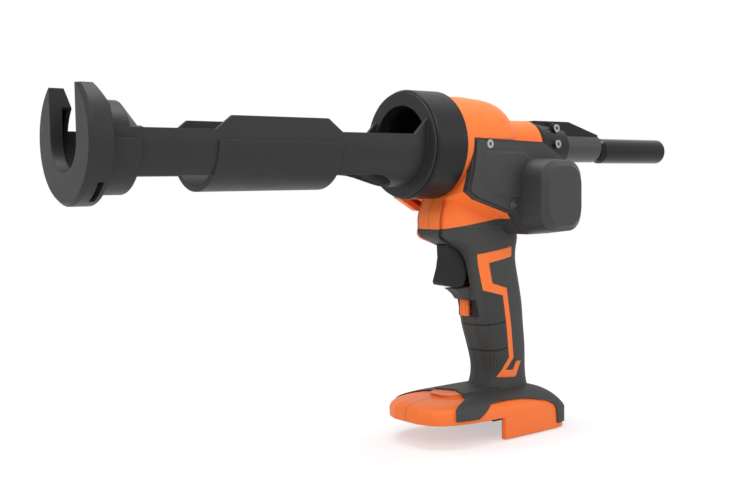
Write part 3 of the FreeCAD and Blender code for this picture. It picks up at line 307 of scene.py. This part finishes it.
def coated(name, colour, roughness):
    """Matt powder coat on steel: orange-peel ripple, dust-fine grain and paler rubbed edges."""
    finish = Finish(name)
    ripple = finish.noise(scale=900.0, detail=2.0)
    dust = finish.noise(scale=5200.0, detail=2.0)
    drift = finish.noise(scale=14.0, detail=3.0)
    rub = finish.noise(scale=120.0, detail=4.0)
    edge_lightening = 0.5
    shade = finish.mixed(drift, toned(colour, 0.88), toned(colour, 1.1))
    worn = finish.edge_mask(radius=0.0008) * finish.smooth(rub, low=0.3, high=0.75) * edge_lightening
    shade = finish.mixed(worn, shade, toned(colour, 2.6))
    dust_share = 0.4
    normal = finish.bump(ripple + dust * dust_share, distance=0.00004, strength=0.5,
                         normal=finish.soft_edge(radius=0.0009))
    return finish.surface(colour=shade, roughness=finish.swing(roughness, rub, width=0.12), normal=normal,
                          specular=0.22)


def gloss(name, colour, roughness):
    """Polished black moulding with hairline handling marks."""
    finish = Finish(name)
    hair = finish.noise(scale=420.0, detail=3.0, roughness=0.6, stretch=(0.08, 1.0, 1.0))
    drift = finish.noise(scale=30.0, detail=2.0)
    shade = finish.mixed(drift, toned(colour, 0.85), toned(colour, 1.2))
    marks = finish.smooth(hair, low=0.6, high=0.85)
    hair_share = 0.15
    mark_roughness = 0.12
    normal = finish.bump(drift + hair * hair_share, distance=0.00005, strength=0.3,
                         normal=finish.soft_edge(radius=0.001))
    return finish.surface(colour=shade, roughness=roughness + marks * mark_roughness, normal=normal, specular=0.2)


def metal(name, colour, roughness, brush=(1.0, 0.05, 1.0), grain=1500.0):
    """Machined or plated metal with a fine lay and a few duller patches."""
    finish = Finish(name)
    lay = finish.noise(scale=grain, detail=3.0, roughness=0.6, stretch=brush)
    patch = finish.noise(scale=90.0, detail=3.0)
    shade = finish.mixed(patch, toned(colour, 0.85), toned(colour, 1.06))
    normal = finish.bump(lay, distance=0.00003, strength=0.5, normal=finish.soft_edge(radius=0.0003))
    return finish.surface(colour=shade, roughness=finish.swing(roughness, lay, width=0.2), metallic=1.0,
                          normal=normal)


def grip_rubber(name, colour):
    """Soft overmoulded rubber: fine upright ribs at the front, level ribs behind, two grooves, smooth elsewhere;
    painted shade in the rib valleys and grooves, and a painted highlight along every edge.
    """
    finish = Finish(name)
    drift = finish.noise(scale=22.0, detail=2.0)
    dust = finish.noise(scale=3800.0, detail=2.0)
    full_turn = 2 * math.pi
    upright = finish.maths("SINE", (finish.x + finish.z * front_rib_lean) * (full_turn / front_rib_pitch))
    level = finish.maths("SINE", (finish.z + finish.x * rear_rib_lean) * (full_turn / rear_rib_pitch))
    along = finish.x + (finish.z - grip_middle) * grip_lean
    risen = finish.smooth(finish.z, *rib_floor)
    front = risen * finish.smooth(finish.z, *front_rib_top)
    front = front * finish.smooth(along, *front_rib_end) * finish.smooth(along, *front_rib_start)
    rear = risen * finish.smooth(finish.z, *rear_rib_top) * finish.smooth(along, *rear_rib_start)
    height = upright * front + level * rear
    groove = 0.0
    for (low_x, low_z), bend in grooves:
        off_x = finish.x - low_x
        off = finish.maths("ABSOLUTE", off_x * off_x * bend + low_z - finish.z)
        groove = finish.smooth(off, groove_half, 0.0) + groove
    groove = groove * finish.smooth(along, *groove_rear)
    groove_painted_shade, edge_lightening, valley_painted_shade = 0.8, 0.35, 0.45
    shade = finish.mixed(drift, toned(colour, 0.88), toned(colour, 1.12))
    # painted shade: the two grooves are darkened
    shade = finish.mixed(groove * groove_painted_shade, shade, toned(colour, 0.2))
    # painted highlight: every edge of the rubber is made lighter
    shade = finish.mixed(finish.edge_mask(radius=0.0006) * edge_lightening, shade, toned(colour, 2.0))
    # painted shade: the valleys between the ribs are darkened
    valley = (0.5 - height * 0.5) * (front + rear)
    shade = finish.mixed(valley * valley_painted_shade, shade, toned(colour, 0.45))
    grain = finish.bump(dust, distance=0.00003, strength=0.5, normal=finish.soft_edge(radius=0.0008))
    ridges = finish.bump(height, rib_depth, strength=0.8, normal=grain)
    normal = finish.bump(0.0 - groove, groove_depth, strength=1.0, normal=ridges)
    nub = finish.positive(finish.y - nub_edge[0] - (finish.z - nub_edge[1]) * nub_lean)
    nub = nub * finish.past(finish.z, nub_floor) * finish.before(finish.x, nub_rear)
    shade = finish.mixed(nub, shade, orange)
    return finish.surface(colour=shade, roughness=finish.swing(0.62, drift, width=0.14), normal=normal,
                          specular=0.28)


def board_finish(name, colour):
    """Coated circuit board with faint copper tracks."""
    finish = Finish(name)
    tracks = finish.node("ShaderNodeTexBrick", None, {"Vector": finish.place, "Scale": 140.0}, "Fac")
    drift = finish.noise(scale=60.0, detail=2.0)
    track_share = 0.5
    lacquer = finish.mixed(drift, colour, toned(colour, 1.3))
    shade = finish.mixed(tracks * track_share, lacquer, track_colour)
    smooth_roughness, rough_share = 0.4, 0.1
    return finish.surface(colour=shade, roughness=smooth_roughness + drift * rough_share,
                          normal=finish.bump(tracks, distance=0.00005, strength=0.4))


no_brush = (1.0, 1.0, 1.0)
finishes = {
    "orange_plastic": moulded("orange_plastic", orange, roughness=0.44, edge=0.0016, lift=0.075, seam=True,
                              specular=0.3),
    "grey_rubber": grip_rubber("grey_rubber", rubber),
    "grey_plastic": moulded("grey_plastic", (0.034, 0.034, 0.035), roughness=0.48, grain=1700.0, depth=0.00005,
                            specular=0.3),
    "black_paint": coated("black_paint", (0.022, 0.022, 0.0225), roughness=0.46),
    "black_plastic": moulded("black_plastic", (0.009, 0.009, 0.0095), roughness=0.42, grain=1900.0, depth=0.00004,
                             specular=0.2),
    "black_gloss": gloss("black_gloss", (0.006, 0.006, 0.007), roughness=0.2),
    "bright_steel": metal("bright_steel", (0.3, 0.3, 0.31), roughness=0.3),
    "steel": metal("steel", (0.5, 0.5, 0.51), roughness=0.34),
    "tube_metal": moulded("tube_metal", (0.035, 0.035, 0.038), roughness=0.32, grain=1400.0, depth=0.00002),
    "cast_alloy": metal("cast_alloy", (0.42, 0.42, 0.43), roughness=0.5, brush=no_brush, grain=700.0),
    "dark_magnet": moulded("dark_magnet", (0.08, 0.08, 0.08), roughness=0.6),
    "bronze": metal("bronze", (0.6, 0.42, 0.2), roughness=0.4, brush=no_brush, grain=900.0),
    "board": board_finish("board", (0.02, 0.12, 0.05)),
    "wire_cover": moulded("wire_cover", (0.25, 0.02, 0.02), roughness=0.4),
}

for part in frame["record"]["subparts"]:
    mesh = frame["nodes"][part["node"]].data
    mesh.materials.clear()
    mesh.materials.append(finishes[part["material_slot"]])


def slab(name, body, slot, root, crown, y_root, y_crown, softness):
    """A low block between two outlines of (x, z), for details that stand on a side of the housing."""
    shape = bmesh.new()
    low = [shape.verts.new((x, y_root, z)) for x, z in root]
    high = [shape.verts.new((x, y_crown, z)) for x, z in crown]
    shape.faces.new(low)
    shape.faces.new(high)
    for index in range(len(low)):
        after = (index + 1) % len(low)
        shape.faces.new((low[index], low[after], high[after], high[index]))
    bmesh.ops.recalc_face_normals(shape, faces=shape.faces[:])
    bmesh.ops.bevel(shape, geom=shape.edges[:], offset=softness, offset_type="OFFSET", affect="EDGES",
                    segments=slab_rounds, profile=0.5, material=-1)
    mesh = bpy.data.meshes.new(name)
    shape.to_mesh(mesh)
    shape.free()
    piece = bpy.data.objects.new(name, mesh)
    bpy.context.scene.collection.objects.link(piece)
    mesh.materials.append(finishes[slot])
    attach(piece, body)


slab("motor_cover_panel", "housing", "grey_plastic", panel_root, panel_crown, panel_seat, panel_top, panel_softness)
slab("trigger_lip", "housing", "grey_rubber", lip_outline, lip_outline, -lip_half, lip_half, lip_softness)


def pale_floor():
    """Round pale floor that keeps the tool's shadow and fades into the white world at its rim."""
    sheet = bmesh.new()
    bmesh.ops.create_circle(sheet, cap_ends=True, segments=floor_sides, radius=floor_radius)
    bmesh.ops.translate(sheet, vec=(*floor_centre, floor_height), verts=sheet.verts[:])
    mesh = bpy.data.meshes.new("floor")
    sheet.to_mesh(mesh)
    sheet.free()
    floor = bpy.data.objects.new("floor", mesh)
    bpy.context.scene.collection.objects.link(floor)
    finish = Finish("pale_floor")
    drift = finish.noise(scale=1.5, detail=2.0)
    finish.surface(colour=finish.mixed(drift, *floor_colours), roughness=0.9, specular=0.1)
    off_x, off_y = finish.x - floor_centre[0], finish.y - floor_centre[1]
    fade = finish.smooth(finish.maths("SQRT", off_x * off_x + off_y * off_y), *floor_fade)
    glow = finish.node("ShaderNodeEmission", None, {"Color": white, "Strength": 1.0})
    matt = Value(finish, finish.shader.outputs[0])
    share = finish.seen_rays() * (floor_glow + fade * (1.0 - floor_glow))
    both = finish.node("ShaderNodeMixShader", None, {0: share, 1: matt, 2: glow})
    finish.feed(finish.nodes["Material Output"].inputs["Surface"], both)
    mesh.materials.append(finish.material)


def area_light(name, place, size, power):
    lamp = bpy.data.lights.new(name, "AREA")
    lamp.shape = "RECTANGLE"
    lamp.size, lamp.size_y = size
    lamp.energy = power
    light = bpy.data.objects.new(name, lamp)
    light.location = place
    light.rotation_euler = (Vector(lamp_target) - Vector(place)).to_track_quat("-Z", "Y").to_euler()
    bpy.context.scene.collection.objects.link(light)


def studio():
    """White world that is dimmer as a light than it looks, and the lamps."""
    world = bpy.data.worlds.new("studio")
    bpy.context.scene.world = world
    world.use_nodes = True
    tree = Tree(world.node_tree)
    sky = tree.nodes["Background"]
    strength = tree.node("ShaderNodeMapRange", None,
                         {"Value": tree.seen_rays(), "To Min": world_light, "To Max": world_seen})
    tree.feed(sky.inputs["Color"], white)
    tree.feed(sky.inputs["Strength"], strength)
    for name, (place, size, power) in lamps.items():
        area_light(name, place, size, power)


def photo_camera():
    ahead = Vector((math.sin(camera_yaw) * math.cos(camera_pitch), math.cos(camera_yaw) * math.cos(camera_pitch),
                    math.sin(camera_pitch)))
    side = Vector((math.cos(camera_yaw), -math.sin(camera_yaw), 0.0))
    over = side.cross(ahead)
    right = side * math.cos(camera_roll) + over * math.sin(camera_roll)
    up = over * math.cos(camera_roll) - side * math.sin(camera_roll)
    lens = bpy.data.cameras.new("photo_camera")
    lens.lens = camera_lens
    lens.sensor_width = camera_sensor
    lens.shift_x, lens.shift_y = camera_shift
    lens.clip_start, lens.clip_end = camera_clip
    camera = bpy.data.objects.new("photo_camera", lens)
    turn = Matrix((right, up, -ahead)).transposed()
    camera.matrix_world = Matrix.Translation(camera_place) @ turn.to_4x4()
    bpy.context.scene.collection.objects.link(camera)
    bpy.context.scene.camera = camera


pale_floor()
studio()
photo_camera()
bpy.context.scene.view_settings.view_transform = "Standard"
